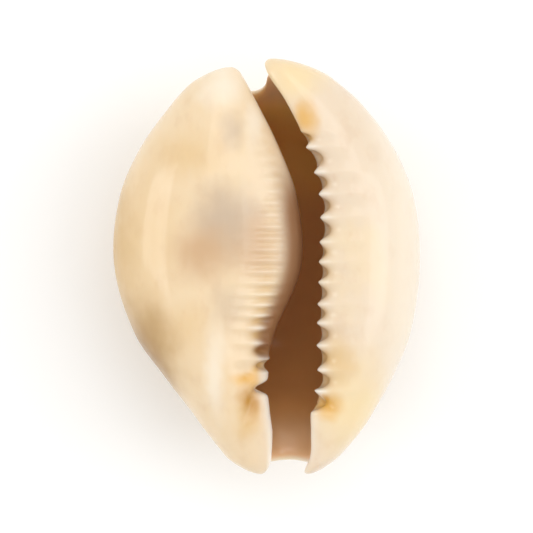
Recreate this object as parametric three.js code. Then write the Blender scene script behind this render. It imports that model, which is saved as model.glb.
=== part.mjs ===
// A ring cowrie shell that lies on its back with its aperture upwards, grown as one piece.
// Millimetres. +X is the side of the outer lip, +Y the posterior end and +Z is up.
// The shell lies on a small flat spot of its back, in the plane z = 0.
//
// The wall is one thick sheet, scrolled round the long axis. A cross-section of it is a closed
// loop of quarter ellipses: over the outer lip, round the back, over the inner lip (the pillar
// side), in under itself as the start of the inner whorl, and back along the chamber.
import * as THREE from 'three';
import { ParametricGeometry } from 'three/addons/geometries/ParametricGeometry.js';
import { mergeVertices } from 'three/addons/utils/BufferGeometryUtils.js';

// ---- Driving dimensions ----
const HALF = 12;                  // half the length over the two ends
const LIP_CREST = 0.42;           // the outer lip's crest, as a share from its edge to the margin
const PILLAR_CREST = 0.58;        // the inner lip's crest, as a share from the margin to its edge
const MARGIN_HEIGHT = 0.62;       // the margins, as a share of the height from back to crest
const RIM_ROUND = 0.9;            // the rounding of the rims at both ends, along the axis
const FLOAT = 0.05;               // keeps the inner lip's inside clear of the inner whorl's edge

// Each of these is a pair: its size in the open canals at the ends, and in the chamber.
const LIP_DROP = [0.55, 1.1];     // the outer lip's tooth tips lie this far below its crest
const LIP_FACE = [0.3, 1.5];      // height of the lip's face, which carries the teeth
const LIP_HOOK = [0.08, 0.8];     // how far the face's foot is rolled in under the lip
const LIP_HANG = [0.05, 0.35];    // how far the foot's rounding hangs below the face
const LIP_ROOF = [1.4, 2.3];      // depth of the roof under the outer lip's crest
const PILLAR_ROOF = [1.4, 1.75];  // and under the inner lip's crest
const PILLAR_WALL = [0.12, 1.35]; // the wall where the inner lip turns in
const CURL_REACH = [0.1, 3.4];    // the inner whorl's edge, measured back from the inner lip's
const CURL_DROP = [0.2, 2.0];     // and down from it
const CURL_WALL = [0.02, 1.1];    // the inner whorl's wall
const CURL_TIP = [0.04, 0.5];     // how far its edge is rounded
const LIP_TEETH = 13;
const LIP_TOOTH_DEPTH = 0.42;
const PILLAR_TEETH = 20;
const PILLAR_TOOTH_DEPTH = 0.2;
const TOOTHED = [-0.75, 0.66];    // the toothed stretch, in half lengths of the shell

// Sizes at stations along the axis. Each row is read as one smooth curve over y: x of the
// margins, edges and keel, z of the base's crest and of the back, the walls' thicknesses, how
// far the inner lip's edge lies below the crest, and how far the sheet is scrolled (0 to 1).
const STATIONS = {
  y:            [-12, -11, -9.5, -8.3, -6.5, -4, 0, 4, 7, 9.5, 11, 12],
  lipMargin:    [3.2, 4.2, 5.5, 6.3, 7.35, 8.4, 9.0, 8.65, 7.4, 5.45, 3.65, 2.2],
  pillarMargin: [-1.6, -2.4, -3.6, -4.5, -5.95, -7.75, -9.0, -8.7, -7.4, -5.5, -4.1, -3.3],
  lipEdge:      [2.0, 2.55, 2.6, 2.6, 3.0, 2.95, 3.05, 3.1, 2.3, 1.1, 0.1, -0.5],
  pillarEdge:   [0.1, 0.2, 0.25, 0.1, 0.0, 0.4, 2.0, 1.75, 0.65, -0.6, -1.4, -1.9],
  keel:         [1.2, 1.2, 0.95, 0.7, 0.35, 0.15, 0.1, 0.0, -0.3, -0.7, -1.05, -1.15],
  crest:        [10.9, 11.3, 11.8, 12.05, 12.35, 12.55, 12.6, 12.55, 12.35, 11.9, 11.5, 11.2],
  back:         [7.9, 7.3, 6.1, 4.6, 2.2, 0.55, -0.16, 0.25, 1.9, 5.5, 7.5, 8.0],
  backWall:     [1.0, 1.5, 1.8, 1.7, 1.3, 1.0, 1.0, 1.0, 1.4, 2.0, 1.8, 1.2],
  lipWall:      [0.8, 1.6, 2.4, 2.4, 2.2, 1.8, 1.5, 1.6, 2.2, 3.2, 3.3, 2.1],
  pillarWall:   [1.55, 2.4, 2.8, 2.6, 2.2, 1.8, 1.5, 1.6, 2.2, 3.1, 2.6, 1.3],
  pillarDrop:   [0.6, 0.8, 1.2, 1.5, 2.1, 2.6, 2.9, 2.6, 2.0, 1.2, 0.8, 0.6],
  scroll:       [0, 0, 0.15, 0.4, 0.8, 1, 1, 1, 0.8, 0.2, 0, 0],
};

// The rims of both ends, as y over the sheet's knots, from the foot of the outer lip's face
// (-1) round the back (3) to the inner whorl's edge (8): lobes at the lips, a notch between.
const RIM = {
  knot:      [-1, 0, 0.5, 1, 2, 2.5, 3, 4, 5, 6, 7, 8],
  anterior:  [-11.6, -11.75, -11.92, -12, -11.75, -11.5, -11.35, -11.75, -12, -11.6, -11.5, -11.45],
  posterior: [10.9, 11.2, 11.75, 12, 11.8, 11.5, 10.35, 11.2, 11.5, 11.2, 10.9, 10.8],
};

// ---- Mesh density: steps on each arc of the loop, and along the axis ----
const ARC_STEPS = [3, 4, 8, 8, 4, 5, 3, 2, 2, 3, 5, 4, 8, 8, 4, 3, 2, 2];
const STEPS_PER_LIP_TOOTH = 3;
const END_STEPS = 9;

// The loop's knots: 0 to 7 lie outside, 8 rounds the inner whorl's edge, 9 to 16 lie inside
// and 17 rounds the foot of the outer lip's face.
const LOOP = 18;
const CURL_END = 8;
const FOLD = 16;
const LIP_FOOT = 17;

const { lerp, clamp, smoothstep } = THREE.MathUtils;

// The smooth curve through (xs, ys): cubic Hermite pieces with finite-difference slopes.
function curve(xs, ys, x) {
  let i = 0;
  while (i < xs.length - 2 && x > xs[i + 1]) i += 1;
  const slope = (k) => {
    const a = Math.max(k - 1, 0);
    const b = Math.min(k + 1, xs.length - 1);
    return (ys[b] - ys[a]) / (xs[b] - xs[a]);
  };
  const span = xs[i + 1] - xs[i];
  const f = clamp((x - xs[i]) / span, 0, 1);
  const rise = f * f * (3 - 2 * f);
  const lead = f * (1 - f) * span;
  return lerp(ys[i], ys[i + 1], rise) + lead * ((1 - f) * slope(i) - f * slope(i + 1));
}

// The section's knots at y, as [x, z]. Even knots have an upright tangent and odd ones a level
// one. Towards the ends the scroll unrolls and the chamber narrows to an open canal.
function knotsAt(y) {
  const at = (name) => curve(STATIONS.y, STATIONS[name], y);
  const scroll = clamp(at('scroll'), 0, 1);
  const scrolled = ([canal, chamber]) => lerp(canal, chamber, scroll);
  const lipEdge = at('lipEdge');
  const lipMargin = at('lipMargin');
  const pillarEdge = at('pillarEdge');
  const pillarMargin = at('pillarMargin');
  const crest = at('crest');
  const back = at('back');
  const keel = at('keel');
  const marginZ = lerp(back, crest, MARGIN_HEIGHT);

  const lipCrestX = lerp(lipEdge, lipMargin, LIP_CREST);
  const lipInsideX = lipMargin - at('lipWall');
  const lipEdgeZ = crest - scrolled(LIP_DROP);
  const lipFootX = lipEdge + scrolled(LIP_HOOK);
  const lipFootZ = lipEdgeZ - scrolled(LIP_FACE);

  const pillarCrestX = lerp(pillarMargin, pillarEdge, PILLAR_CREST);
  const pillarInsideX = pillarMargin + at('pillarWall');
  const pillarEdgeZ = crest - at('pillarDrop');
  const curlX = pillarEdge - scrolled(CURL_REACH);
  const curlZ = pillarEdgeZ - scrolled(CURL_DROP);
  const curlWall = scrolled(CURL_WALL);
  const tip = scrolled(CURL_TIP);
  const pillarRoofX = scrolled([(pillarInsideX + pillarEdge) / 2, pillarCrestX]);
  const lipRoofX = scrolled([(lipInsideX + lipFootX) / 2, lipCrestX]);

  return [
    [lipEdge, lipEdgeZ],
    [lipCrestX, crest],
    [lipMargin, marginZ],
    [keel, back],
    [pillarMargin, marginZ],
    [pillarCrestX, crest],
    [pillarEdge, pillarEdgeZ],
    [curlX, curlZ],
    [curlX - tip, curlZ + curlWall / 2],
    [curlX, curlZ + curlWall],
    [pillarEdge - scrolled(PILLAR_WALL), scrolled([curlZ, pillarEdgeZ]) + FLOAT],
    [pillarRoofX, crest - scrolled(PILLAR_ROOF)],
    [pillarInsideX, marginZ],
    [keel, back + at('backWall')],
    [lipInsideX, marginZ],
    [lipRoofX, crest - scrolled(LIP_ROOF)],
    [lipFootX, lipFootZ],
    [(lipEdge + lipFootX) / 2, lipFootZ - scrolled(LIP_HANG)],
  ];
}

// The point at g on the section's loop: a knot's number plus a share of the arc after it.
function loopPoint(knots, g) {
  const arc = Math.floor(g);
  const [x0, z0] = knots[arc % LOOP];
  const [x1, z1] = knots[(arc + 1) % LOOP];
  const turn = (g - arc) * Math.PI / 2;
  const slow = 1 - Math.cos(turn);
  const quick = Math.sin(turn);
  const upright = arc % 2 === 0;
  return [lerp(x0, x1, upright ? slow : quick), lerp(z0, z1, upright ? quick : slow)];
}

// The place along the sheet that loop position g lies at, and the position right across it on
// the wall's other side.
function sheetKnot(g) {
  if (g >= LIP_FOOT) return g - LOOP;
  return g <= CURL_END ? g : FOLD - g;
}

const across = (g) => (g <= FOLD ? FOLD - g : FOLD + LOOP - g);

// 1 at the middle, falling smoothly to 0 at width.
const bell = (distance, width) => 0.5 + 0.5 * Math.cos(Math.PI * Math.min(Math.abs(distance) / width, 1));

// How far the grooves between the teeth move a point of the sheet's outside, as [x, z].
function toothGroove(u, t) {
  const toothed = smoothstep(t, TOOTHED[0] - 0.06, TOOTHED[0])
    * (1 - smoothstep(t, TOOTHED[1], TOOTHED[1] + 0.06));
  const turns = 2 * Math.PI * (t - TOOTHED[0]) / (TOOTHED[1] - TOOTHED[0]);
  const wave = (teeth) => 0.5 - 0.5 * Math.cos(teeth * turns);
  const lip = toothed * LIP_TOOTH_DEPTH * bell(u, 0.75) * wave(LIP_TEETH);
  const pillar = toothed * PILLAR_TOOTH_DEPTH * bell(u - 5.7, 0.6) * wave(PILLAR_TEETH);
  return [lip - 0.6 * pillar, -0.4 * lip - pillar];
}

// The shell's surface: g runs round the section's loop, and t from end to end, -1 to 1.
function shellPoint(g, t) {
  const u = sheetKnot(g);
  const anterior = curve(RIM.knot, RIM.anterior, u);
  const posterior = curve(RIM.knot, RIM.posterior, u);
  const y = lerp(anterior, posterior, (t + 1) / 2);
  const knots = knotsAt(y);
  const here = loopPoint(knots, g);
  const there = loopPoint(knots, across(g));

  // The wall's two sides close on each other at the rims, over a quarter ellipse.
  const inwards = Math.min((1 - Math.abs(t)) * HALF / RIM_ROUND, 1);
  const meet = (1 - Math.sqrt(1 - (1 - inwards) ** 2)) / 2;
  const outside = g <= CURL_END || g >= LIP_FOOT;
  const groove = outside ? toothGroove(u, t) : [0, 0];
  const x = lerp(here[0], there[0], meet) + groove[0];
  const z = lerp(here[1], there[1], meet) + groove[1];
  return new THREE.Vector3(x, y, Math.max(z, 0));
}

// Positions round the loop, arc by arc.
function loopSteps() {
  const steps = ARC_STEPS.flatMap((count, arc) => (
    Array.from({ length: count }, (_, k) => arc + k / count)
  ));
  return [...steps, LOOP];
}

// Positions along the axis: even steps over the teeth, and ever closer ones towards the rims.
function axisSteps() {
  const even = LIP_TEETH * STEPS_PER_LIP_TOOTH;
  const middle = Array.from({ length: even + 1 }, (_, k) => lerp(TOOTHED[0], TOOTHED[1], k / even));
  const towards = (from, rim) => Array.from({ length: END_STEPS }, (_, k) => (
    lerp(from, rim, Math.sin((k + 1) / END_STEPS * Math.PI / 2))
  ));
  return [...towards(TOOTHED[0], -1).reverse(), ...middle, ...towards(TOOTHED[1], 1)];
}

function makeShell() {
  const round = loopSteps();
  const along = axisSteps();
  const slices = round.length - 1;
  const stacks = along.length - 1;
  const surface = (a, b, target) => {
    target.copy(shellPoint(round[Math.round(a * slices)], along[Math.round(b * stacks)]));
  };
  const geometry = new ParametricGeometry(surface, slices, stacks);
  geometry.deleteAttribute('normal');
  geometry.deleteAttribute('uv');
  const closed = mergeVertices(geometry, 1e-4);
  closed.computeVertexNormals();
  const enamel = new THREE.MeshStandardMaterial({ color: 0xf1dcbd, roughness: 0.28, metalness: 0 });
  const shell = new THREE.Mesh(closed, enamel);
  shell.name = 'shell';
  return shell;
}

const cowrie = new THREE.Group();
cowrie.add(makeShell());

export default cowrie;
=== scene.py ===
"""A ring cowrie shell lying on its back, aperture upwards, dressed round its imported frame.

Every object is in metres and in the frame's own axes: +X towards the outer lip, +Y towards the
posterior end, +Z up. The shell's own sizes are written in millimetres, for a shell as long as
ShellForm.length, and scaled to the length that the frame gives.
"""

import logging
import math
from dataclasses import dataclass, field, fields
from enum import Enum

import bmesh
import bpy
import numpy as np
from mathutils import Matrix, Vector


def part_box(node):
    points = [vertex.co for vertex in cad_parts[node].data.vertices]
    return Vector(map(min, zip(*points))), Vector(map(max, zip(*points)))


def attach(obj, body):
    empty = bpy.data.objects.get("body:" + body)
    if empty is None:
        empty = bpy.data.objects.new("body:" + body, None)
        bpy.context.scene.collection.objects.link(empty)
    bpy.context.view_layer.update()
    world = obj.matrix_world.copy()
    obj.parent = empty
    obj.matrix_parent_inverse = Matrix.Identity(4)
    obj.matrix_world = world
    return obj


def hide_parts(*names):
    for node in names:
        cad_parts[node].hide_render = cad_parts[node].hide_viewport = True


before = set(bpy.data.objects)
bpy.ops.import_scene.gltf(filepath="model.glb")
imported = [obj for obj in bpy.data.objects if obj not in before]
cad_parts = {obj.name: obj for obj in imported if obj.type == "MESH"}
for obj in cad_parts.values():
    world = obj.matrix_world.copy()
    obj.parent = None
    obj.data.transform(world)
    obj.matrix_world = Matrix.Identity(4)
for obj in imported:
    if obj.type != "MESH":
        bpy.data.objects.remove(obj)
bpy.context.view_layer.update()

MM = 0.001
# Keeps a length that is divided by off nothing.
TINY = 1e-9
# Octaves in a soft noise.
SOFT_DETAIL = 2.0
# A turn that never falls in step with itself, in radians.
GOLDEN_ANGLE = 2.4
LOG = logging.getLogger("cowrie")


# ---------------------------------------------------------------------------------------------
# Small helpers
# ---------------------------------------------------------------------------------------------


def linear(code: str) -> tuple[float, float, float, float]:
    """Turns an sRGB hex colour into linear RGBA.

    Args:
        code: the colour, such as "#f6e3c8".

    Returns:
        Linear red, green, blue and an alpha of 1.
    """
    def channel(start: int) -> float:
        """One channel of the code, made linear by the sRGB standard's curve."""
        value = int(code[start:start + 2], 16) / 255
        return value / 12.92 if value <= 0.04045 else ((value + 0.055) / 1.055) ** 2.4

    return channel(1), channel(3), channel(5), 1.0


def smooth_curve(xs: tuple[float, ...], ys: tuple[float, ...], x: np.ndarray) -> np.ndarray:
    """Reads the smooth curve through a few points, made of cubic Hermite pieces.

    Args:
        xs: the points' places, rising.
        ys: the points' values.
        x: where the curve is read. Past the ends it stays level.

    Returns:
        The curve's value at each x.
    """
    knots, values = np.array(xs, float), np.array(ys, float)
    last = len(knots) - 1
    before, after = np.maximum(np.arange(last + 1) - 1, 0), np.minimum(np.arange(last + 1) + 1, last)
    slopes = (values[after] - values[before]) / (knots[after] - knots[before])
    i = np.clip(np.searchsorted(knots, x, side="left") - 1, 0, last - 1)
    span = knots[i + 1] - knots[i]
    f = np.clip((x - knots[i]) / span, 0, 1)
    rise = f * f * (3 - 2 * f)
    lead = f * (1 - f) * span
    level = values[i] + (values[i + 1] - values[i]) * rise
    return level + lead * ((1 - f) * slopes[i] - f * slopes[i + 1])


def smooth_step(low: float, high: float, x: np.ndarray) -> np.ndarray:
    """Rises smoothly from 0 at low to 1 at high.

    Args:
        low: where the rise starts.
        high: where it ends. Below low, it falls instead.
        x: where it is read.

    Returns:
        The step's value at each x.
    """
    f = np.clip((x - low) / (high - low), 0, 1)
    return f * f * (3 - 2 * f)


def bell(distance: np.ndarray, width: float | np.ndarray) -> np.ndarray:
    """1 where the distance is nothing, falling smoothly to 0 at width."""
    return 0.5 + 0.5 * np.cos(np.pi * np.minimum(np.abs(distance) / width, 1))


def mix(a: np.ndarray | float, b: np.ndarray | float, share: np.ndarray | float) -> np.ndarray | float:
    """The value that lies the given share of the way from a to b."""
    return a + (b - a) * share


# ---------------------------------------------------------------------------------------------
# The shell's form
# ---------------------------------------------------------------------------------------------


class Knot(Enum):
    """Places round a cross-section's loop, numbered as its quarter ellipses join.

    It starts at the outer lip's edge. KEEL is the middle of the back, PILLAR_EDGE the inner lip's
    edge and CURL_END the inner whorl's. FOLD is the inner end of the outer lip's foot, LIP_FOOT
    the foot's lowest point, and LOOP the way all round, back at the edge.
    """

    KEEL = 3
    PILLAR_EDGE = 6
    CURL_END = 8
    FOLD = 16
    LIP_FOOT = 17
    LOOP = 18


@dataclass(frozen=True)
class Stations:
    """Sizes in millimetres at stations along the axis, each read as one smooth curve over y."""

    y: tuple[float, ...] = (-12, -11, -9.5, -8.3, -6.5, -4, 0, 4, 7, 9.5, 11, 12)
    lip_margin: tuple[float, ...] = (3.2, 4.2, 5.5, 6.3, 7.35, 8.4, 9.0, 8.65, 7.4, 5.45, 3.65, 2.2)
    pillar_margin: tuple[float, ...] = (
        -1.6, -2.4, -3.6, -4.5, -5.95, -7.75, -9.0, -8.7, -7.4, -5.5, -4.1, -3.3)
    lip_edge: tuple[float, ...] = (2.0, 2.55, 2.6, 2.6, 3.0, 2.95, 3.05, 3.1, 2.3, 1.1, 0.1, -0.5)
    pillar_edge: tuple[float, ...] = (
        0.1, 0.2, 0.25, 0.1, 0.0, 0.4, 2.0, 1.75, 0.65, -0.6, -1.4, -1.9)
    keel: tuple[float, ...] = (1.2, 1.2, 0.95, 0.7, 0.35, 0.15, 0.1, 0.0, -0.3, -0.7, -1.05, -1.15)
    crest: tuple[float, ...] = (
        10.9, 11.3, 11.8, 12.05, 12.35, 12.55, 12.6, 12.55, 12.35, 11.9, 11.5, 11.2)
    back: tuple[float, ...] = (7.9, 7.3, 6.1, 4.6, 2.2, 0.55, -0.16, 0.25, 1.9, 5.5, 7.5, 8.0)
    back_wall: tuple[float, ...] = (1.0, 1.5, 1.8, 1.7, 1.3, 1.0, 1.0, 1.0, 1.4, 2.0, 1.8, 1.2)
    lip_wall: tuple[float, ...] = (0.8, 1.6, 2.4, 2.4, 2.2, 1.8, 1.5, 1.6, 2.2, 3.2, 3.3, 2.1)
    pillar_wall: tuple[float, ...] = (1.55, 2.4, 2.8, 2.6, 2.2, 1.8, 1.5, 1.6, 2.2, 3.1, 2.6, 1.3)
    pillar_drop: tuple[float, ...] = (0.6, 0.8, 1.2, 1.5, 2.1, 2.6, 2.9, 2.6, 2.0, 1.2, 0.8, 0.6)
    scroll: tuple[float, ...] = (0, 0, 0.15, 0.4, 0.8, 1, 1, 1, 0.8, 0.2, 0, 0)

    def read(self, y: np.ndarray) -> dict[str, np.ndarray]:
        """Reads every size along the axis.

        Args:
            y: the places along the axis.

        Returns:
            Each size by its name, at every place.
        """
        return {row.name: smooth_curve(self.y, getattr(self, row.name), y) for row in fields(self)}


@dataclass(frozen=True)
class Rims:
    """How far the shell reaches along y at each knot of its wall, at both ends: lobes and notches.

    Args:
        knot: the places across the sheet.
        anterior: y of the anterior rim there, in millimetres.
        posterior: y of the posterior rim there.
        rounding: how far from a rim the wall's two sides start to meet.
    """

    knot: tuple[float, ...] = (-1, 0, 0.5, 1, 2, 2.5, 3, 4, 5, 6, 7, 8)
    anterior: tuple[float, ...] = (
        -11.6, -11.75, -11.92, -12, -11.75, -11.5, -11.35, -11.75, -12, -11.6, -11.5, -11.45)
    posterior: tuple[float, ...] = (
        10.9, 11.2, 11.75, 12, 11.8, 11.5, 10.35, 11.2, 11.5, 11.2, 10.9, 10.8)
    rounding: float = 0.9

    def y_at(self, sheet: np.ndarray, along: np.ndarray) -> np.ndarray:
        """Finds the y of places between the two rims.

        Args:
            sheet: the place across the sheet, in knots.
            along: the share from end to end, from -1 to 1.

        Returns:
            y in millimetres.
        """
        low = smooth_curve(self.knot, self.anterior, sheet)
        high = smooth_curve(self.knot, self.posterior, sheet)
        return mix(low, high, (along + 1) / 2)


@dataclass(frozen=True)
class ShellForm:
    """The smooth form of the wall: one thick sheet, scrolled round the long axis.

    Args:
        length: length over the two ends, in millimetres, as are all the sizes below.
        lip_crest: the outer lip's crest, as a share from its edge to the margin.
        pillar_crest: the inner lip's crest, as a share from the margin to its edge.
        margin_height: the margins, as a share of the height from back to crest.
        clearance: keeps the inner lip's inside clear of the inner whorl's edge.
        lip_drop: the outer lip's tooth tips lie this far below its crest. This and each size
            after it is a pair: in the open canals at the ends, and in the chamber.
        lip_face: height of the lip's face, which carries the teeth.
        lip_hook: how far the face's foot is rolled in under the lip.
        lip_hang: how far the foot's rounding hangs below the face.
        lip_roof: depth of the roof under the outer lip's crest.
        pillar_roof: and under the inner lip's crest.
        pillar_wall: the wall where the inner lip turns in.
        curl_reach: the inner whorl's edge, measured back from the inner lip's.
        curl_drop: and down from it.
        curl_wall: the inner whorl's wall.
        curl_tip: how far its edge is rounded.
        lip_turn: the share of the arc under the outer lip over which its outside begins.
    """

    length: float = 24.0
    stations: Stations = Stations()
    rims: Rims = Rims()
    lip_crest: float = 0.42
    pillar_crest: float = 0.58
    margin_height: float = 0.62
    clearance: float = 0.05
    lip_drop: tuple[float, float] = (0.55, 1.1)
    lip_face: tuple[float, float] = (0.3, 1.5)
    lip_hook: tuple[float, float] = (0.08, 0.8)
    lip_hang: tuple[float, float] = (0.05, 0.35)
    lip_roof: tuple[float, float] = (1.4, 2.3)
    pillar_roof: tuple[float, float] = (1.4, 1.75)
    pillar_wall: tuple[float, float] = (0.12, 1.35)
    curl_reach: tuple[float, float] = (0.1, 3.4)
    curl_drop: tuple[float, float] = (0.2, 2.0)
    curl_wall: tuple[float, float] = (0.02, 1.1)
    curl_tip: tuple[float, float] = (0.04, 0.5)
    lip_turn: float = 0.8

    def knots(self, y: np.ndarray) -> np.ndarray:
        """Finds the section's knots. Even ones have an upright tangent, odd ones a level one.

        Args:
            y: the place along the axis, for each point.

        Returns:
            Knot x and z, in an array shaped (knots, 2, *y.shape).
        """
        at = self.stations.read(y)
        scroll = np.clip(at["scroll"], 0, 1)
        crest, back, keel = at["crest"], at["back"], at["keel"]
        lip_edge, lip_margin = at["lip_edge"], at["lip_margin"]
        pillar_edge, pillar_margin = at["pillar_edge"], at["pillar_margin"]
        margin_z = mix(back, crest, self.margin_height)

        lip_crest = mix(lip_edge, lip_margin, self.lip_crest)
        lip_inside = lip_margin - at["lip_wall"]
        lip_edge_z = crest - mix(*self.lip_drop, scroll)
        lip_foot = lip_edge + mix(*self.lip_hook, scroll)
        lip_foot_z = lip_edge_z - mix(*self.lip_face, scroll)
        lip_roof = mix((lip_inside + lip_foot) / 2, lip_crest, scroll)

        pillar_crest = mix(pillar_margin, pillar_edge, self.pillar_crest)
        pillar_inside = pillar_margin + at["pillar_wall"]
        pillar_edge_z = crest - at["pillar_drop"]
        pillar_roof = mix((pillar_inside + pillar_edge) / 2, pillar_crest, scroll)
        curl = pillar_edge - mix(*self.curl_reach, scroll)
        curl_z = pillar_edge_z - mix(*self.curl_drop, scroll)
        curl_wall = mix(*self.curl_wall, scroll)
        inner_z = mix(curl_z, pillar_edge_z, scroll) + self.clearance

        return np.array([
            [lip_edge, lip_edge_z],
            [lip_crest, crest],
            [lip_margin, margin_z],
            [keel, back],
            [pillar_margin, margin_z],
            [pillar_crest, crest],
            [pillar_edge, pillar_edge_z],
            [curl, curl_z],
            [curl - mix(*self.curl_tip, scroll), curl_z + curl_wall / 2],
            [curl, curl_z + curl_wall],
            [pillar_edge - mix(*self.pillar_wall, scroll), inner_z],
            [pillar_roof, crest - mix(*self.pillar_roof, scroll)],
            [pillar_inside, margin_z],
            [keel, back + at["back_wall"]],
            [lip_inside, margin_z],
            [lip_roof, crest - mix(*self.lip_roof, scroll)],
            [lip_foot, lip_foot_z],
            [(lip_edge + lip_foot) / 2, lip_foot_z - mix(*self.lip_hang, scroll)],
        ])

    def sheet_knot(self, loop: np.ndarray) -> np.ndarray:
        """Finds the place across the sheet, whichever side of it a loop position is on.

        Args:
            loop: the loop positions.

        Returns:
            The places across the sheet, in knots, from -1 to 8.
        """
        folded = np.where(loop <= Knot.CURL_END.value, loop, Knot.FOLD.value - loop)
        return np.where(loop >= Knot.LIP_FOOT.value, loop - Knot.LOOP.value, folded)

    def across(self, loop: np.ndarray) -> np.ndarray:
        """Finds the loop positions right across the wall.

        Args:
            loop: the loop positions.

        Returns:
            The positions on the wall's other side.
        """
        turned = Knot.FOLD.value - loop
        return np.where(loop <= Knot.FOLD.value, turned, turned + Knot.LOOP.value)

    def outside(self, loop: np.ndarray) -> np.ndarray:
        """Finds how far loop positions are on the wall's outside.

        Args:
            loop: the loop positions.

        Returns:
            1 on the outside and 0 on the inside, with a soft change just past both lips.
        """
        past_curl = smooth_step(Knot.CURL_END.value, Knot.CURL_END.value - 1, loop)
        return past_curl + smooth_step(Knot.FOLD.value, Knot.FOLD.value + self.lip_turn, loop)

    def loop_point(self, knots: np.ndarray, loop: np.ndarray) -> np.ndarray:
        """Finds points on the loop: a knot's number plus a share of the quarter ellipse after it.

        Args:
            knots: what knots() gave.
            loop: the loop position, for each point.

        Returns:
            x and z, shaped (2, *loop.shape).
        """
        arc = np.floor(loop).astype(int)
        count = Knot.LOOP.value
        start = np.take_along_axis(knots, (arc % count)[None, None], axis=0)[0]
        end = np.take_along_axis(knots, ((arc + 1) % count)[None, None], axis=0)[0]
        turn = (loop - arc) * np.pi / 2
        slow, quick = 1 - np.cos(turn), np.sin(turn)
        upright = arc % 2 == 0
        return np.array([
            mix(start[0], end[0], np.where(upright, slow, quick)),
            mix(start[1], end[1], np.where(upright, quick, slow)),
        ])

    def points(self, loop: np.ndarray, along: np.ndarray) -> np.ndarray:
        """Finds points of the smooth surface. At the rims the wall's two sides meet.

        Args:
            loop: position round the section's loop, 0 to 18.
            along: position from end to end, -1 to 1.

        Returns:
            x, y and z in millimetres, shaped (3, *loop.shape).
        """
        y = self.rims.y_at(self.sheet_knot(loop), along)
        knots = self.knots(y)
        here = self.loop_point(knots, loop)
        there = self.loop_point(knots, self.across(loop))
        inwards = np.minimum((1 - np.abs(along)) * self.length / 2 / self.rims.rounding, 1)
        meet = (1 - np.sqrt(1 - (1 - inwards) ** 2)) / 2
        x, z = mix(here, there, meet)
        return np.array([x, y, z])


# ---------------------------------------------------------------------------------------------
# Teeth and furrows
# ---------------------------------------------------------------------------------------------


@dataclass(frozen=True)
class ToothRow:
    """A row of teeth across one lip: ridges, parted by grooves cut into the lip.

    Args:
        tips: y of the teeth's ridges, from the anterior end to the posterior one.
        strength_y: y of the stations of the three sizes below.
        depth: depth of the grooves, in millimetres.
        middle: the row's middle, as a place across the sheet.
        reach: how far the grooves reach to each side of it.
        sharpness: over 1 the ridges are round, and under 1 they are sharp.
        tail: the share of the depth that fades out further away.
        knob: how far each ridge is raised at the row's middle, in millimetres.
        unevenness: how much the depth varies from groove to groove.
        phase: where in its turns that variation starts, in radians.
        tail_spread: how many times the reach the tail goes.
    """

    tips: tuple[float, ...]
    strength_y: tuple[float, ...]
    depth: tuple[float, ...]
    middle: tuple[float, ...]
    reach: tuple[float, ...]
    sharpness: float
    tail: float
    knob: float
    unevenness: float
    phase: float = 0.6
    tail_spread: float = 2.0

    def count(self, y: np.ndarray) -> np.ndarray:
        """Counts the teeth passed on the way to each y: whole numbers at the tips."""
        return np.interp(y, self.tips, np.arange(len(self.tips), dtype=float))

    def relief(self, sheet: np.ndarray, y: np.ndarray) -> tuple[np.ndarray, np.ndarray, np.ndarray]:
        """Finds how the row shapes the lip.

        Args:
            sheet: place across the sheet, on the wall's outside.
            y: place along the axis.

        Returns:
            The depth cut away in millimetres, and two shares from 0 to 1: how far a place lies
            in a groove, and how far on a ridge.
        """
        count = self.count(y)
        groove = np.abs(np.sin(np.pi * count)) ** self.sharpness
        aside = sheet - smooth_curve(self.strength_y, self.middle, y)
        reach = smooth_curve(self.strength_y, self.reach, y)
        near = mix(bell(aside, reach), bell(aside, self.tail_spread * reach), self.tail)
        depth = np.maximum(smooth_curve(self.strength_y, self.depth, y), 0)
        uneven = 1 + self.unevenness * np.sin(GOLDEN_ANGLE * np.floor(count) + self.phase)
        strength = near * np.clip(depth / np.max(self.depth), 0, 1)
        cut = near * depth * uneven * groove - self.knob * strength * (1 - groove)
        return cut, near * groove * np.sqrt(strength), strength * (1 - groove)


LIP_TEETH = ToothRow(
    tips=(-8.43, -7.14, -5.92, -4.5, -3.23, -2.15, -0.9, 0.25, 1.4, 2.8, 4.15, 5.4, 6.85, 7.8),
    strength_y=(-8.45, -7.9, -6.5, -4.5, -1.5, 1.5, 4.5, 7.3, 7.9),
    depth=(0.34, 0.74, 0.64, 0.52, 0.4, 0.42, 0.54, 0.5, 0.12),
    middle=(0.05,) * 9,
    reach=(0.6, 0.62, 0.68, 0.62, 0.58, 0.6, 0.62, 0.6, 0.5),
    sharpness=1.5,
    tail=0.28,
    knob=0.18,
    unevenness=0.3,
)

PILLAR_TEETH = ToothRow(
    tips=(-6.12, -5.3, -4.4, -3.5, -2.8, -2.2, -1.6, -0.95, -0.3, 0.35, 0.95, 1.6, 2.25, 2.95,
          3.65, 4.3, 5.0, 5.6, 6.25, 6.9, 7.5, 8.1),
    strength_y=(-6.2, -5.7, -4.8, -3.9, -2.5, 0.0, 3.0, 5.5, 8.0),
    depth=(0.4, 0.52, 0.4, 0.32, 0.2, 0.08, 0.06, 0.04, 0.02),
    middle=(5.85, 5.85, 5.68, 5.56, 5.5, 5.4, 5.46, 5.6, 5.62),
    reach=(0.4, 0.38, 0.29, 0.25, 0.24, 0.24, 0.22, 0.2, 0.18),
    sharpness=1.6,
    tail=0.25,
    knob=0.1,
    unevenness=0.3,
)


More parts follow.
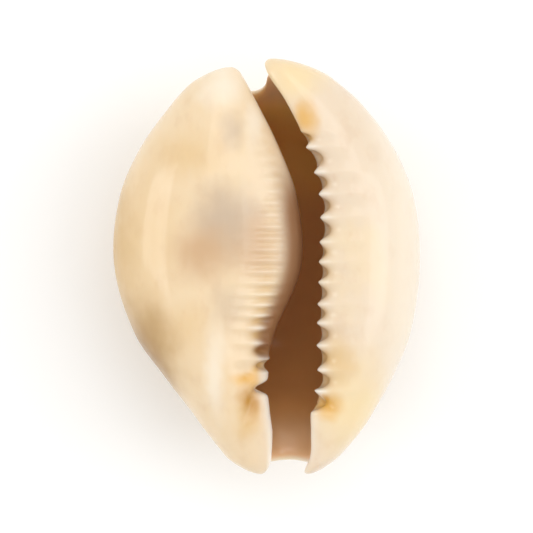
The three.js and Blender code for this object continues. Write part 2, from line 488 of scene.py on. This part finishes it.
@dataclass(frozen=True)
class Furrow:
    """A valley in the outside of the wall that runs between two places on the base.

    Args:
        start: x and y of its deep end, in millimetres.
        end: x and y of its shallow end.
        depth: its depth at the deep end.
        width: its half breadth.
    """

    start: tuple[float, float]
    end: tuple[float, float]
    depth: float
    width: float

    def depth_at(self, x: np.ndarray, y: np.ndarray) -> np.ndarray:
        """Finds the valley's depth.

        Args:
            x: the places' x in millimetres.
            y: and their y.

        Returns:
            The depth in millimetres.
        """
        (x0, y0), (x1, y1) = self.start, self.end
        run = math.hypot(x1 - x0, y1 - y0)
        along = ((x - x0) * (x1 - x0) + (y - y0) * (y1 - y0)) / run
        aside = ((x - x0) * (y1 - y0) - (y - y0) * (x1 - x0)) / run
        fade = 1 - smooth_step(0, run, along)
        before = np.exp(-(np.minimum(along, 0) / self.width) ** 2)
        return self.depth * fade * before * np.exp(-(aside / self.width) ** 2)


FURROWS = (
    Furrow(start=(0.1, -6.98), end=(-1.0, -7.1), depth=0.85, width=0.26),
    Furrow(start=(-0.75, -7.6), end=(-1.7, -10.0), depth=0.42, width=0.4),
    Furrow(start=(-1.1, -6.25), end=(-2.0, -5.6), depth=0.16, width=0.4),
    Furrow(start=(3.3, -7.85), end=(4.6, -8.9), depth=0.3, width=0.38),
)


# ---------------------------------------------------------------------------------------------
# The shell's mesh
# ---------------------------------------------------------------------------------------------


class Mask(Enum):
    """Names of the shell's own attributes, each a share from 0 to 1 that its finish reads."""

    INSIDE = "inside"
    # Painted light in the posterior canal.
    POSTERIOR_CANAL_LIGHT = "posterior_canal"
    CANAL_MOUTHS = "canal_mouths"
    GROOVE = "groove"
    RIDGE = "ridge"
    # A brown stain with painted shade on the inner lip's rolled edge.
    ROLL = "roll"
    BACK = "back"
    RING = "ring"
    BAND = "band"


@dataclass(frozen=True)
class MarkPlaces:
    """Where the enamel changes colour. A pair is where a mark starts and where it is full.

    Args:
        inner_turn: the inside, past the inner lip's edge, as positions round the loop.
        outer_turn: the inside, past the outer lip's edge, likewise.
        rim: how the inside fades at the rims, as shares from end to end.
        posterior_canal: the posterior canal, its inside lightened with painted light, along y in
            millimetres.
        posterior_mouth: that canal's mouth, along y.
        anterior_mouth: the anterior canal's mouth, along y.
        roll: the inner lip's rolled edge, a brown stain darkened with painted shade, as places across
            the sheet.
        roll_anterior: its anterior end, along y.
        roll_posterior: its posterior end, along y.
        back: the back's oval patch, as shares of its size.
        back_y: y of the patch's middle.
        back_half: half the patch's length. Half its breadth is one knot.
        ring_y: y of the ring's middle.
        ring_half: half the ring's breadth in knots, and half its length.
        ring_width: its line's half breadth, as a share of its size.
        bands: y and half breadth of the lines across both ends of the back.
        band_reach: how far round from the keel they go, in knots.
    """

    inner_turn: tuple[float, float] = (6.3, 7.6)
    outer_turn: tuple[float, float] = (17.4, 16.4)
    rim: tuple[float, float] = (1.0, 0.94)
    posterior_canal: tuple[float, float] = (2.4, 7.0)
    posterior_mouth: tuple[float, float] = (8.8, 10.6)
    anterior_mouth: tuple[float, float] = (-7.6, -10.4)
    roll: tuple[float, float] = (5.38, 5.74)
    roll_anterior: tuple[float, float] = (-6.0, -4.6)
    roll_posterior: tuple[float, float] = (7.4, 2.6)
    back: tuple[float, float] = (1.06, 0.6)
    back_y: float = 0.4
    back_half: float = 10.6
    ring_y: float = -0.3
    ring_half: tuple[float, float] = (0.56, 7.6)
    ring_width: float = 0.09
    bands: tuple[tuple[float, float], ...] = ((9.3, 0.5), (-8.1, 0.35))
    band_reach: tuple[float, float] = (0.9, 0.4)


@dataclass
class CowrieShell:
    """The shell's fine mesh, which stands for the frame's coarse one.

    Args:
        scale: metres for each of the form's millimetres.
        form: the smooth form that the mesh is laid over.
        places: where its colours change.
        arc_steps: steps on each arc of the loop. Arcs across the wall from each other match.
        toothed: the evenly stepped stretch, in half lengths of the shell.
        toothed_steps: steps along it.
        end_steps: steps from it to each rim.
        rim_hold: how closely to the rims the relief still shows.
        furrow_reach: how far from the outer and the inner lip's edge furrows go, in knots.
        seam: vertices closer than this are made one, in metres.
    """

    scale: float
    form: ShellForm = field(default_factory=ShellForm)
    places: MarkPlaces = field(default_factory=MarkPlaces)
    arc_steps: tuple[int, ...] = (
        20, 16, 26, 26, 18, 40, 10, 4, 4, 10, 40, 18, 26, 26, 16, 20, 8, 8)
    toothed: tuple[float, float] = (-0.76, 0.72)
    toothed_steps: int = 228
    end_steps: int = 24
    rim_hold: int = 40
    furrow_reach: tuple[float, float] = (2.0, 1.8)
    seam: float = 1e-8

    def loop_places(self) -> np.ndarray:
        """Positions round the loop, closest together over the toothed lips."""
        steps = [arc + k / count for arc, count in enumerate(self.arc_steps) for k in range(count)]
        return np.array([*steps, Knot.LOOP.value], float)

    def axis_places(self) -> np.ndarray:
        """Finds positions from end to end: even over the teeth, closing up towards the rims.

        Returns:
            The positions, from -1 to 1.
        """
        low, high = self.toothed
        ease = np.sin(np.arange(1, self.end_steps + 1) / self.end_steps * np.pi / 2)
        middle = np.linspace(low, high, self.toothed_steps + 1)
        return np.concatenate([mix(low, -1, ease)[::-1], middle, mix(high, 1, ease)])

    def normals(self, points: np.ndarray) -> np.ndarray:
        """Finds the smooth surface's unit normals, which point out of the wall.

        Args:
            points: the surface's points, shaped (3, loop, axis).

        Returns:
            The normals, in the same shape.
        """
        round_loop = np.gradient(points, axis=1)
        round_loop[:, 0] = round_loop[:, -1] = points[:, 1] - points[:, -2]
        along_axis = np.gradient(points, axis=2)
        normal = np.cross(round_loop, along_axis, axis=0)
        return normal / np.maximum(np.linalg.norm(normal, axis=0), TINY)

    def marks(
        self, points: np.ndarray, loop: np.ndarray, along: np.ndarray,
    ) -> dict[Mask, np.ndarray]:
        """Finds where the enamel changes colour with the shell's form.

        Args:
            points: the smooth surface, in millimetres.
            loop: the loop positions.
            along: the positions from end to end.

        Returns:
            The marks by name, without those of the teeth.
        """
        at, y = self.places, points[1]
        sheet = self.form.sheet_knot(loop)
        outside = self.form.outside(loop)
        inside = smooth_step(*at.inner_turn, loop) * smooth_step(*at.outer_turn, loop)
        inside = inside * smooth_step(*at.rim, np.abs(along))
        mouths = smooth_step(*at.anterior_mouth, y) + smooth_step(*at.posterior_mouth, y)
        roll = smooth_step(*at.roll, sheet) * smooth_step(*at.roll_anterior, y)
        from_keel = np.abs(sheet - Knot.KEEL.value)
        from_middle = np.hypot(from_keel, (y - at.back_y) / at.back_half)
        breadth, length = at.ring_half
        oval = np.hypot(from_keel / breadth, (y - at.ring_y) / length)
        bands = sum(bell(y - middle, width) for middle, width in at.bands)
        return {
            Mask.INSIDE: inside,
            # The posterior canal's inside, lightened with painted light towards the canal's open end.
            Mask.POSTERIOR_CANAL_LIGHT: inside * smooth_step(*at.posterior_canal, y),
            Mask.CANAL_MOUTHS: inside * mouths,
            # The rolled edge: a brown stain, darkened with painted shade where it turns down into the
            # aperture.
            Mask.ROLL: outside * roll * smooth_step(*at.roll_posterior, y),
            Mask.BACK: outside * smooth_step(*at.back, from_middle),
            Mask.RING: outside * bell(oval - 1, at.ring_width),
            Mask.BAND: outside * smooth_step(*at.band_reach, from_keel) * np.clip(bands, 0, 1),
        }

    def shape(self, loop: np.ndarray, along: np.ndarray) -> tuple[np.ndarray, dict[Mask, np.ndarray]]:
        """Cuts the teeth and the furrows into the smooth surface.

        Args:
            loop: the loop positions.
            along: the positions from end to end.

        Returns:
            The shell's points in millimetres, and its marks by name.
        """
        points = self.form.points(loop, along)
        x, y, _ = points
        sheet = self.form.sheet_knot(loop)
        outside = self.form.outside(loop)
        lip_cut, lip_groove, lip_ridge = LIP_TEETH.relief(sheet, y)
        pillar_cut, pillar_groove, pillar_ridge = PILLAR_TEETH.relief(sheet, y)
        by_lip, by_pillar = self.furrow_reach
        base = np.clip(bell(sheet, by_lip) + bell(sheet - Knot.PILLAR_EDGE.value, by_pillar), 0, 1)
        valleys = base * sum(furrow.depth_at(x, y) for furrow in FURROWS)
        depth = outside * (lip_cut + pillar_cut + valleys) * (1 - np.abs(along) ** self.rim_hold)
        masks = self.marks(points, loop, along)
        masks[Mask.GROOVE] = outside * np.clip(lip_groove + pillar_groove, 0, 1)
        masks[Mask.RIDGE] = outside * np.clip(lip_ridge + pillar_ridge, 0, 1)
        points = points - self.normals(points) * depth
        points[:, -1] = points[:, 0]
        points[2] = np.maximum(points[2], 0)
        return points, masks

    def build(self) -> bpy.types.Object:
        """Makes the mesh: a grid, laid over the form's surface and closed along its seams.

        Returns:
            The shell's object, in the frame's place.
        """
        loop, along = np.meshgrid(self.loop_places(), self.axis_places(), indexing="ij")
        points, masks = self.shape(loop, along)
        slices, stacks = (count - 1 for count in loop.shape)
        # The grid is one unit across, so a vertex's place on it gives its row and column.
        half = 0.5
        bm = bmesh.new()
        bm.loops.layers.uv.new("OFBake")
        bmesh.ops.create_grid(bm, x_segments=slices, y_segments=stacks, size=half, calc_uvs=True)
        layers = {mask: bm.verts.layers.float.new(mask.value) for mask in masks}
        for vert in bm.verts:
            i = round((vert.co.x + half) * slices)
            j = round((vert.co.y + half) * stacks)
            vert.co = Vector(points[:, i, j]) * self.scale
            for mask, layer in layers.items():
                vert[layer] = masks[mask][i, j]
        bmesh.ops.remove_doubles(bm, verts=bm.verts, dist=self.seam)
        bmesh.ops.recalc_face_normals(bm, faces=bm.faces)
        for face in bm.faces:
            face.smooth = True
        open_edges = sum(1 for edge in bm.edges if len(edge.link_faces) != 2)
        LOG.info("cowrie_shell: %d faces, %d open edges", len(bm.faces), open_edges)
        mesh = bpy.data.meshes.new("cowrie_shell")
        bm.to_mesh(mesh)
        bm.free()
        shell = bpy.data.objects.new("cowrie_shell", mesh)
        bpy.context.scene.collection.objects.link(shell)
        return shell


# ---------------------------------------------------------------------------------------------
# Finish
# ---------------------------------------------------------------------------------------------


class Tint(Enum):
    """The enamel's colours, in sRGB: pale ones, stains from golden to brown, and the inside's. The
    darkest browns also carry painted shade, and the inside's warm tints carry painted light.
    """

    PORCELAIN = "#f8f1e6"
    IVORY = "#f1e4cf"
    CREAM = "#e6d2b8"
    SAND = "#e8cfa9"
    BUTTER = "#efd7a6"
    HONEY = "#d9b26e"
    TAN = "#c59a4c"
    # Darkened with painted shade, over the left margin's gold stain.
    UMBER_AND_SHADE = "#94660f"
    GREIGE = "#b7a08a"
    FAWN = "#c69b6e"
    GOLD = "#e0ac4a"
    OCHRE = "#c48d30"
    # A brown stain, darkened with painted shade, for the inner lip's rolled edge.
    COCOA_AND_SHADE = "#845020"
    # The inside, warmed to orange with painted light bounced round the chamber and through its walls.
    RUSSET_AND_BOUNCE_LIGHT = "#e3a766"
    # Painted light in the posterior canal.
    AMBER_CANAL_LIGHT = "#ffcb70"
    BISCUIT = "#deb183"


@dataclass
class NodeBench:
    """Adds nodes to one material, and holds the places that they read.

    Args:
        tree: the material's node tree.
        ragged_mm: how far noise moves the ragged places.
        ragged_grain: how many of that noise's clouds there are in a millimetre.
    """

    tree: bpy.types.NodeTree
    ragged_mm: float = 1.6
    ragged_grain: float = 0.5

    def __post_init__(self) -> None:
        """Finds the plain places in millimetres, and the ragged ones, moved by soft noise."""
        at = self.add("ShaderNodeTexCoord")
        scaled = self.add("ShaderNodeMapping", {}, {
            "Vector": at.outputs["Object"], "Scale": (1 / MM,) * 3})
        self.place = scaled.outputs["Vector"]
        noise = self.add("ShaderNodeTexNoise", {}, {
            "Vector": self.place, "Scale": self.ragged_grain, "Detail": SOFT_DETAIL})
        moved = self.add("ShaderNodeVectorMath", {"operation": "MULTIPLY_ADD"}, {
            0: noise.outputs["Color"], 1: (self.ragged_mm,) * 3, 2: self.place})
        middled = self.add("ShaderNodeVectorMath", {"operation": "SUBTRACT"}, {
            0: moved.outputs["Vector"], 1: (self.ragged_mm / 2,) * 3})
        self.ragged = middled.outputs["Vector"]

    def add(self, kind: str, settings: dict | None = None, links: dict | None = None) -> bpy.types.Node:
        """Adds one node.

        Args:
            kind: the node's type, such as "ShaderNodeMath".
            settings: what its properties are set to.
            links: its inputs by name or number, each an output socket to link or a plain value.

        Returns:
            The node.
        """
        node = self.tree.nodes.new(kind)
        for name, value in (settings or {}).items():
            setattr(node, name, value)
        for name, value in (links or {}).items():
            if isinstance(value, bpy.types.NodeSocket):
                self.tree.links.new(value, node.inputs[name])
            else:
                node.inputs[name].default_value = value
        return node


@dataclass(frozen=True, kw_only=True)
class Layer:
    """A tint laid over the colours under it, as far as some quantity says.

    Args:
        tint: its colour.
        low: the quantity at which the tint starts to show.
        high: the quantity from which on it shows in full. It may be below low.
        strength: the tint's share where it shows in full.
    """

    tint: Tint
    low: float = 0.0
    high: float = 1.0
    strength: float = 1.0

    def quantity(self, bench: NodeBench) -> bpy.types.NodeSocket:
        """What the tint follows. Each kind of layer has its own."""
        raise NotImplementedError

    def lay(self, bench: NodeBench, under: bpy.types.NodeSocket | tuple) -> bpy.types.NodeSocket:
        """Lays the tint over a colour.

        Args:
            bench: where the nodes are added.
            under: the colour under it.

        Returns:
            The colour that comes of it.
        """
        share = bench.add("ShaderNodeMapRange", {"interpolation_type": "SMOOTHSTEP"}, {
            "Value": self.quantity(bench), "From Min": self.low, "From Max": self.high,
            "To Min": 0.0, "To Max": self.strength})
        laid = bench.add("ShaderNodeMix", {"data_type": "RGBA"}, {
            0: share.outputs["Result"], 6: under, 7: linear(self.tint.value)})
        return laid.outputs[2]


@dataclass(frozen=True, kw_only=True)
class Slope(Layer):
    """A tint that comes in from the inner lip's side to the outer lip's, along x in millimetres."""

    def quantity(self, bench: NodeBench) -> bpy.types.NodeSocket:
        """The place's x."""
        return bench.add("ShaderNodeSeparateXYZ", {}, {0: bench.place}).outputs["X"]


@dataclass(frozen=True, kw_only=True)
class Cloud(Layer):
    """A tint in soft clouds of the given size along x, y and z, in millimetres."""

    size: tuple[float, float, float]
    detail: float = 3.0

    def quantity(self, bench: NodeBench) -> bpy.types.NodeSocket:
        """Noise whose clouds have the size."""
        shaped = bench.add("ShaderNodeMapping", {}, {
            "Vector": bench.place, "Scale": tuple(1 / size for size in self.size)})
        noise = bench.add("ShaderNodeTexNoise", {}, {
            "Vector": shaped.outputs["Vector"], "Scale": 1.0, "Detail": self.detail})
        return noise.outputs["Fac"]


@dataclass(frozen=True, kw_only=True)
class StainAndShadePatch(Layer):
    """A soft ragged patch, with its middle and its reach along x, y and z in millimetres. Most are
    stains in the enamel; the left margin's darkest ones also carry painted shade.
    """

    low: float = 1.15
    high: float = 0.1
    centre: tuple[float, float, float]
    reach: tuple[float, float, float]

    def quantity(self, bench: NodeBench) -> bpy.types.NodeSocket:
        """The distance from the middle, in reaches."""
        local = bench.add("ShaderNodeMapping", {}, {
            "Vector": bench.ragged, "Scale": tuple(1 / reach for reach in self.reach),
            "Location": tuple(-at / reach for at, reach in zip(self.centre, self.reach))})
        away = bench.add("ShaderNodeVectorMath", {"operation": "LENGTH"}, {
            0: local.outputs["Vector"]})
        return away.outputs["Value"]


@dataclass(frozen=True, kw_only=True)
class Marking(Layer):
    """A tint that follows one of the shell's own attributes."""

    mask: Mask

    def quantity(self, bench: NodeBench) -> bpy.types.NodeSocket:
        """The attribute."""
        return bench.add("ShaderNodeAttribute", {"attribute_name": self.mask.value}).outputs["Fac"]


# The back and the margins, from the enamel's ground colour outwards.
BACK_LAYERS = (
    Slope(tint=Tint.CREAM, low=-2.5, high=3.5),
    Marking(tint=Tint.HONEY, mask=Mask.BACK, strength=0.9),
    Cloud(tint=Tint.BUTTER, size=(5.0, 6.0, 5.0), low=0.5, high=0.68, strength=0.35),
    Cloud(tint=Tint.FAWN, size=(1.0, 1.4, 1.0), low=0.48, high=0.72, strength=0.14),
    Marking(tint=Tint.TAN, mask=Mask.BACK, low=0.75, high=1.0, strength=0.55),
    Marking(tint=Tint.GOLD, mask=Mask.RING, strength=0.4),
    Marking(tint=Tint.GOLD, mask=Mask.BAND, strength=0.4),
)

# The base, on the inner lip's side.
PILLAR_LAYERS = (
    StainAndShadePatch(tint=Tint.HONEY, centre=(-6.8, 1.8, 10.5), reach=(2.6, 6.5, 5.0), strength=0.4),
    # Painted shade: these three patches are the left margin's gold stain, darkened towards the lower
    # left with painted shade and brown reflected light.
    StainAndShadePatch(tint=Tint.TAN, centre=(-9.5, 0.6, 8.5), reach=(2.4, 8.5, 6.0), strength=0.9),
    StainAndShadePatch(tint=Tint.TAN, centre=(-6.9, -5.4, 9.5), reach=(3.0, 4.8, 6.0), strength=0.75),
    StainAndShadePatch(tint=Tint.UMBER_AND_SHADE, centre=(-7.2, -5.9, 8.8), reach=(2.7, 4.8, 6.0), strength=0.95),
    StainAndShadePatch(tint=Tint.HONEY, centre=(-4.6, 6.5, 11.5), reach=(2.4, 1.8, 4.0), strength=0.45),
    StainAndShadePatch(tint=Tint.GREIGE, centre=(-2.0, 7.8, 11.5), reach=(1.0, 1.4, 4.0), strength=0.45),
    StainAndShadePatch(tint=Tint.GREIGE, centre=(-2.3, 2.6, 12.0), reach=(2.4, 3.0, 4.0), strength=0.72),
    StainAndShadePatch(tint=Tint.FAWN, centre=(-3.7, 0.7, 12.0), reach=(2.4, 2.0, 4.0), strength=0.72),
    StainAndShadePatch(tint=Tint.FAWN, centre=(-0.7, 1.2, 12.0), reach=(1.7, 2.6, 4.0), strength=0.6),
    StainAndShadePatch(tint=Tint.GREIGE, centre=(-2.2, -2.4, 12.0), reach=(1.3, 2.0, 4.0), strength=0.35),
    StainAndShadePatch(tint=Tint.HONEY, centre=(-4.4, -3.4, 12.0), reach=(1.5, 1.8, 4.0), strength=0.3),
    StainAndShadePatch(tint=Tint.IVORY, centre=(-3.0, -6.2, 12.0), reach=(0.9, 3.6, 4.0), strength=0.75),
    StainAndShadePatch(tint=Tint.IVORY, centre=(-2.6, 10.4, 11.0), reach=(1.7, 1.7, 4.0), strength=0.85),
    StainAndShadePatch(tint=Tint.IVORY, centre=(-0.6, 8.3, 11.0), reach=(0.8, 2.2, 4.0), strength=0.6),
    StainAndShadePatch(tint=Tint.HONEY, centre=(-1.1, -8.6, 11.0), reach=(1.0, 1.6, 3.0), strength=0.7),
    StainAndShadePatch(tint=Tint.GOLD, centre=(-1.15, -6.3, 11.6), reach=(0.95, 0.9, 2.4), strength=0.95),
    StainAndShadePatch(tint=Tint.OCHRE, centre=(-0.8, -7.8, 11.4), reach=(0.9, 1.4, 2.4), strength=0.95),
)

# The base, on the outer lip's side.
LIP_LAYERS = (
    # Painted highlight: the outer lip is lightened towards its margin, from x 5 to 8 mm, where the
    # right softbox's broad highlight lies.
    Slope(tint=Tint.IVORY, low=5.0, high=8.0, strength=0.6),
    StainAndShadePatch(tint=Tint.BUTTER, centre=(1.4, 10.8, 11.0), reach=(2.6, 1.8, 4.0), strength=0.8),
    StainAndShadePatch(tint=Tint.GOLD, centre=(2.3, 8.5, 11.5), reach=(0.9, 1.4, 3.0), strength=0.9),
    StainAndShadePatch(tint=Tint.BUTTER, centre=(4.8, -7.8, 11.0), reach=(2.8, 4.2, 4.0), strength=0.85),
    StainAndShadePatch(tint=Tint.HONEY, centre=(4.0, -5.4, 11.8), reach=(1.4, 2.2, 3.0), strength=0.6),
    StainAndShadePatch(tint=Tint.GOLD, centre=(3.5, -7.9, 11.4), reach=(1.2, 1.0, 2.4), strength=0.95),
)

# The teeth, the inner lip's rolled edge with its painted shade, and the inside with its painted light.
APERTURE_LAYERS = (
    Marking(tint=Tint.HONEY, mask=Mask.GROOVE, strength=0.85),
    Marking(tint=Tint.PORCELAIN, mask=Mask.RIDGE),
    # The rolled edge: a brown stain, darkened with painted shade where the lip turns down into the
    # aperture.
    Marking(tint=Tint.COCOA_AND_SHADE, mask=Mask.ROLL, strength=0.88),
    # The inside's colour, warmed to orange with painted light that stands in for light bounced round
    # the chamber and shining through its walls.
    Marking(tint=Tint.RUSSET_AND_BOUNCE_LIGHT, mask=Mask.INSIDE),
    # Painted light: the posterior canal's inside is lightened to amber where light falls into the open
    # canal.
    Marking(tint=Tint.AMBER_CANAL_LIGHT, mask=Mask.POSTERIOR_CANAL_LIGHT),
    Marking(tint=Tint.BISCUIT, mask=Mask.CANAL_MOUTHS),
)


@dataclass(frozen=True)
class AragoniteEnamel:
    """A cowrie's glossy enamel: clear porcelain-like aragonite, polished by the animal's mantle.

    It gives soft wide reflections over a body colour that light enters a little way.

    Args:
        ground: the colour under every layer.
        layers: the tints over it, in order.
        coat: strength of the polish, and its roughness after it.
        gloss: the body's roughness where it is smoothest and where it is most worn.
        depth_mm: how far light travels inside, in red, green and blue.
        glow: the share of the light that enters.
        streak_mm: breadth and length of the growth streaks.
        streak_height_mm: their height.
        streak_range: the streaks' values where the body is smoothest and where it is most worn.
    """

    ground: Tint = Tint.SAND
    layers: tuple[Layer, ...] = BACK_LAYERS + PILLAR_LAYERS + LIP_LAYERS + APERTURE_LAYERS
    coat: tuple[float, float] = (0.55, 0.1)
    gloss: tuple[float, float] = (0.4, 0.52)
    depth_mm: tuple[float, float, float] = (0.6, 0.5, 0.4)
    glow: float = 0.28
    streak_mm: tuple[float, float] = (0.45, 5.0)
    streak_height_mm: float = 0.006
    streak_range: tuple[float, float] = (0.35, 0.65)

    def make(self) -> bpy.types.Material:
        """Makes the material.

        Returns:
            The enamel's material.
        """
        material = bpy.data.materials.new("glossy_aragonite_enamel")
        material.use_nodes = True
        shader = material.node_tree.nodes["Principled BSDF"]
        polish, polish_roughness = self.coat
        shader.inputs["Coat Weight"].default_value = polish
        shader.inputs["Coat Roughness"].default_value = polish_roughness
        shader.inputs["Subsurface Weight"].default_value = self.glow
        shader.inputs["Subsurface Radius"].default_value = self.depth_mm
        shader.inputs["Subsurface Scale"].default_value = MM
        bench = NodeBench(material.node_tree)
        colour = linear(self.ground.value)
        for layer in self.layers:
            colour = layer.lay(bench, colour)
        bench.tree.links.new(colour, shader.inputs["Base Color"])
        self.wear(bench, shader)
        return material

    def wear(self, bench: NodeBench, shader: bpy.types.Node) -> None:
        """Varies the polish, and raises faint growth streaks along the shell.

        Args:
            bench: where the nodes are added.
            shader: the material's shader.
        """
        breadth, length = self.streak_mm
        drawn = bench.add("ShaderNodeMapping", {}, {
            "Vector": bench.place, "Scale": (1 / breadth, 1 / length, 1 / breadth)})
        streaks = bench.add("ShaderNodeTexNoise", {}, {
            "Vector": drawn.outputs["Vector"], "Scale": 1.0, "Detail": SOFT_DETAIL})
        smoothest, worn = self.gloss
        valley, ridge = self.streak_range
        roughness = bench.add("ShaderNodeMapRange", {}, {
            "Value": streaks.outputs["Fac"], "From Min": valley, "From Max": ridge,
            "To Min": smoothest, "To Max": worn})
        bump = bench.add("ShaderNodeBump", {}, {
            "Height": streaks.outputs["Fac"], "Strength": 1.0,
            "Distance": self.streak_height_mm * MM})
        bench.tree.links.new(roughness.outputs["Result"], shader.inputs["Roughness"])
        bench.tree.links.new(bump.outputs["Normal"], shader.inputs["Normal"])


# ---------------------------------------------------------------------------------------------
# Studio
# ---------------------------------------------------------------------------------------------


@dataclass(frozen=True)
class Softbox:
    """A rectangular diffuse lamp, aimed at the shell.

    Args:
        name: the lamp's name.
        position: its middle, in metres.
        size: its breadth and length, in metres.
        power: its output in watts.
    """

    name: str
    position: tuple[float, float, float]
    size: tuple[float, float]
    power: float

    def build(self, target: Vector) -> None:
        """Hangs the lamp.

        Args:
            target: what it is aimed at.
        """
        lamp = bpy.data.lights.new(self.name, "AREA")
        lamp.shape = "RECTANGLE"
        lamp.size, lamp.size_y = self.size
        lamp.energy = self.power
        stand = bpy.data.objects.new(self.name, lamp)
        stand.location = self.position
        stand.rotation_euler = (target - stand.location).to_track_quat("-Z", "Y").to_euler()
        bpy.context.scene.collection.objects.link(stand)


SOFTBOXES = (
    Softbox(name="softbox_left", position=(-0.27, 0.035, 0.15), size=(0.11, 0.15), power=0.15),
    Softbox(name="softbox_right", position=(0.2, 0.02, 0.235), size=(0.16, 0.26), power=0.24),
    Softbox(name="softbox_top", position=(0.01, 0.12, 0.33), size=(0.2, 0.16), power=0.16),
)


@dataclass
class Studio:
    """Plain white table, three softboxes and a camera straight overhead.

    Args:
        low: the shell's lowest corner.
        high: its highest corner.
        lens_mm: the camera's focal length.
        sensor_mm: the breadth of its sensor.
        fill: the share of the view's height that the shell takes up.
        sharpest: the height in the shell's box at which that share holds.
        room_light: strength of the even light from all round.
        floor_size: breadth of the table, in metres.
        white: the table's colour.
        matt: its roughness.
        nearest: the nearest that the camera sees, in metres.
    """

    low: Vector
    high: Vector
    lens_mm: float = 150.0
    sensor_mm: float = 36.0
    fill: float = 0.77
    sharpest: float = 0.7
    room_light: float = 0.82
    floor_size: float = 1.2
    white: str = "#fbfbfa"
    matt: float = 0.9
    nearest: float = 0.01

    @property
    def centre(self) -> Vector:
        """The middle of the shell's box."""
        return (self.low + self.high) / 2

    def build_camera(self) -> None:
        """Hangs the camera over the aperture, with the posterior end at the top of its view."""
        camera = bpy.data.cameras.new("overhead")
        camera.lens, camera.sensor_width = self.lens_mm, self.sensor_mm
        camera.clip_start = self.nearest
        view = (self.high.y - self.low.y) / self.fill
        away = mix(self.low.z, self.high.z, self.sharpest) + view * self.lens_mm / self.sensor_mm
        holder = bpy.data.objects.new("overhead", camera)
        holder.location = (self.centre.x, self.centre.y, away)
        bpy.context.scene.collection.objects.link(holder)
        bpy.context.scene.camera = holder

    def build_floor(self) -> None:
        """Lays the white table that the shell rests on: matt, so it gives an even pale ground."""
        bm = bmesh.new()
        bmesh.ops.create_grid(bm, x_segments=1, y_segments=1, size=self.floor_size / 2)
        mesh = bpy.data.meshes.new("table_top")
        bm.to_mesh(mesh)
        bm.free()
        floor = bpy.data.objects.new("table_top", mesh)
        bpy.context.scene.collection.objects.link(floor)
        paint = bpy.data.materials.new("white_matt_laminate")
        paint.use_nodes = True
        shader = paint.node_tree.nodes["Principled BSDF"]
        shader.inputs["Base Color"].default_value = linear(self.white)
        shader.inputs["Roughness"].default_value = self.matt
        mesh.materials.append(paint)

    def build_lights(self) -> None:
        """Hangs the softboxes, and lights the room evenly."""
        for box in SOFTBOXES:
            box.build(self.centre)
        world = bpy.data.worlds.new("room")
        world.use_nodes = True
        sky = world.node_tree.nodes["Background"]
        sky.inputs["Color"].default_value = linear("#ffffff")
        sky.inputs["Strength"].default_value = self.room_light
        bpy.context.scene.world = world

    def build(self) -> None:
        """Sets up the table, the lights and the camera."""
        self.build_floor()
        self.build_lights()
        self.build_camera()
        bpy.context.scene.view_settings.view_transform = "Standard"


def main() -> None:
    """Builds the shell and its studio, and ties the shell to the frame."""
    logging.basicConfig(level=logging.INFO, format="%(name)s: %(message)s")
    low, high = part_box("shell")
    Studio(low, high).build()
    shell = CowrieShell(scale=(high.y - low.y) / ShellForm.length).build()
    shell.data.materials.append(AragoniteEnamel().make())
    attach(shell, "root")
    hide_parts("shell")
    LOG.info("cowrie_shell rides on root")


if __name__ == "__main__":
    main()
